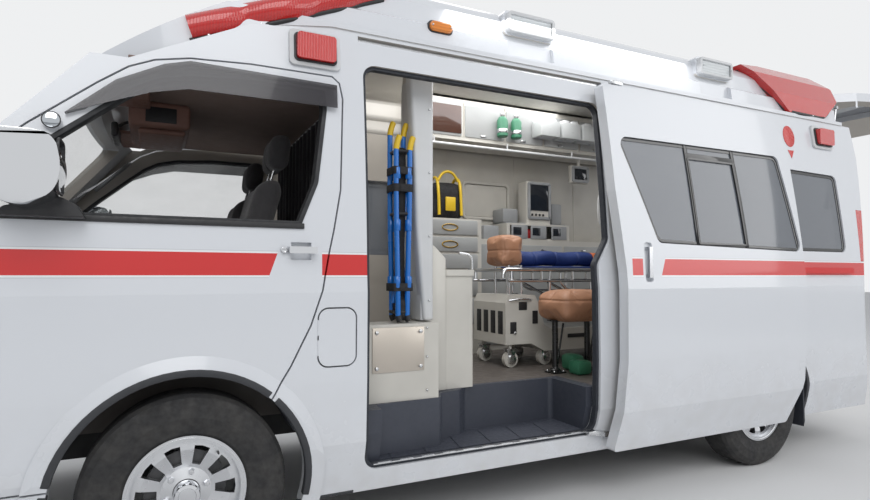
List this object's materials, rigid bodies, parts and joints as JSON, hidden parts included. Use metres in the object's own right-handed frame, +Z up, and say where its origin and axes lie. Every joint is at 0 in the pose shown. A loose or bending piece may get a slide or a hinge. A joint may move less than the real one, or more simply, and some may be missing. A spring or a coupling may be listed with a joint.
{
  "type": "ambulance",
  "caption": "Van-based ambulance with high roof, open sliding door and raised tailgate, red warning lamps and a fitted patient room.",
  "frame": {"origin": "on the ground, midway along the overall length and width", "axes": "+X rearward, +Y to the vehicle's right, +Z up"},
  "size_m": [7.0736, 2.27, 2.5152],
  "materials": {
    "white_paint": "gloss white paint",
    "chassis_black": "satin black paint",
    "cast_metal": "bare machined casting",
    "alloy": "machined and lacquered",
    "chrome": "polished",
    "tyre": "matt",
    "rubber": "matt",
    "black_plastic": "fine grain",
    "step_plastic": "blue grey, moulded grain",
    "cab_plastic": "warm grey grain",
    "cabinet": "satin off-white",
    "floor": "brown grey vinyl",
    "glass": "clear",
    "tinted_glass": "dark tint",
    "smoked_plastic": "smoked acrylic",
    "red_lens": "red moulded lens",
    "clear_lens": "clear moulded lens",
    "cab_fabric": "woven",
    "tan_vinyl": "vinyl",
    "blue_cover": "coated cloth",
    "blue_tube": "gloss blue"
  },
  "bodies": {
    "body": {"nose_body": "white_paint", "grille": "chrome", "headlamps": "clear_lens", "left_side": "white_paint", "right_side": "white_paint", "rear_frame": "white_paint", "bumpers": "white_paint", "high_roof": "white_paint", "windscreen": "glass", "side_windows": "tinted_glass", "sliding_door": "white_paint", "sliding_door_glass": "tinted_glass", "rear_axle": "chassis_black", "chassis_frame": "chassis_black", "drive_line": "cast_metal", "engine_block": "cast_metal", "fuel_tank": "black_plastic", "exhaust": "cast_metal", "floor_pan": "floor", "step_well": "step_plastic", "dashboard": "cab_plastic", "cab_seats": "cab_fabric", "partition": "cabinet", "patient_cabinets": "cabinet", "cot_platform": "cabinet", "cot": "blue_cover", "attendant_seat": "tan_vinyl", "folded_stretcher": "blue_tube", "warning_lamps": "red_lens", "flood_lamps": "clear_lens", "tail_lamps": "red_lens", "door_rails": "alloy", "door_seal": "rubber", "mudflaps": "rubber"},
    "left_door": {"left_door": "white_paint", "left_mirror": "chrome", "left_visor": "smoked_plastic", "left_door_handle": "chrome"},
    "right_door": {"right_door": "white_paint", "right_mirror": "chrome", "right_visor": "smoked_plastic", "right_door_glass": "glass", "right_door_handle": "chrome"},
    "bonnet": {"bonnet": "white_paint"},
    "fuel_lid": {"fuel_lid": "white_paint"},
    "tailgate": {"tailgate": "white_paint", "tailgate_glass": "tinted_glass"},
    "strut_tubes": {"strut_tubes": "chassis_black"},
    "strut_rods": {"strut_rods": "chrome"},
    "left_knuckle": {"left_knuckle": "cast_metal"},
    "right_knuckle": {"right_knuckle": "cast_metal"},
    "steering_wheel": {"steering_wheel": "black_plastic"},
    "front_left_wheel": {"front_left_tyre": "tyre", "front_left_rim": "alloy"},
    "front_right_wheel": {"front_right_tyre": "tyre", "front_right_rim": "alloy"},
    "rear_left_wheel": {"rear_left_tyre": "tyre", "rear_left_rim": "alloy"},
    "rear_right_wheel": {"rear_right_tyre": "tyre", "rear_right_rim": "alloy"}
  },
  "joints": [
    {"name": "left_steering", "type": "hinge", "parent": "body", "child": "left_knuckle", "pos_m": [-2.4175, -0.7575, 0.3465], "axis": [0, 0, 1], "range_deg": [-32, 32]},
    {"name": "right_steering", "type": "hinge", "parent": "body", "child": "right_knuckle", "pos_m": [-2.4175, 0.7575, 0.3465], "axis": [0, 0, 1], "range_deg": [-32, 32]},
    {"name": "steering_wheel_turn", "type": "hinge", "parent": "body", "child": "steering_wheel", "pos_m": [-2.9775, 0.37, 1.1], "axis": [0.8, 0, 0.6], "range_deg": [-500, 500]},
    {"name": "front_left_spin", "type": "hinge", "parent": "left_knuckle", "child": "front_left_wheel", "pos_m": [-2.4175, -0.8275, 0.3465], "axis": [0, 1, 0], "continuous": true},
    {"name": "front_right_spin", "type": "hinge", "parent": "right_knuckle", "child": "front_right_wheel", "pos_m": [-2.4175, 0.8275, 0.3465], "axis": [0, 1, 0], "continuous": true},
    {"name": "rear_left_spin", "type": "hinge", "parent": "body", "child": "rear_left_wheel", "pos_m": [0.6925, -0.825, 0.3465], "axis": [0, 1, 0], "continuous": true},
    {"name": "rear_right_spin", "type": "hinge", "parent": "body", "child": "rear_right_wheel", "pos_m": [0.6925, 0.825, 0.3465], "axis": [0, 1, 0], "continuous": true},
    {"name": "left_door_hinge", "type": "hinge", "parent": "body", "child": "left_door", "pos_m": [-3.151, -0.9151, 0.9], "axis": [0, 0, -1], "range_deg": [0, 65]},
    {"name": "right_door_hinge", "type": "hinge", "parent": "body", "child": "right_door", "pos_m": [-3.151, 0.9151, 0.9], "axis": [0, 0, 1], "range_deg": [0, 65]},
    {"name": "bonnet_hinge", "type": "hinge", "parent": "body", "child": "bonnet", "pos_m": [-3.4755, 0, 1.0635], "axis": [0, 1, 0], "range_deg": [0, 50]},
    {"name": "fuel_lid_hinge", "type": "hinge", "parent": "body", "child": "fuel_lid", "pos_m": [-1.9625, -0.943, 0.87], "axis": [0, 0, -1], "range_deg": [0, 85]},
    {"name": "tailgate_hinge", "type": "hinge", "parent": "body", "child": "tailgate", "pos_m": [1.7225, 0, 2.335], "axis": [0, 1, 0], "range_deg": [0, 91]},
    {"name": "strut_tube_pivot", "type": "hinge", "parent": "body", "child": "strut_tubes", "pos_m": [1.7105, 0, 1.6], "axis": [0, 1, 0], "range_deg": [-12, 0]},
    {"name": "strut_rod_slide", "type": "slide", "parent": "strut_tubes", "child": "strut_rods", "axis": [0.1989, 0, 0.98], "range_m": [-0.142, 0]}
  ],
  "couplings": [
    {"joint": "right_steering", "follows": "left_steering", "ratio": 1},
    {"joint": "steering_wheel_turn", "follows": "left_steering", "ratio": 15},
    {"joint": "strut_tube_pivot", "follows": "tailgate_hinge", "ratio": -0.12605},
    {"joint": "strut_rod_slide", "follows": "tailgate_hinge", "m_per_rad": -0.08824}
  ]
}
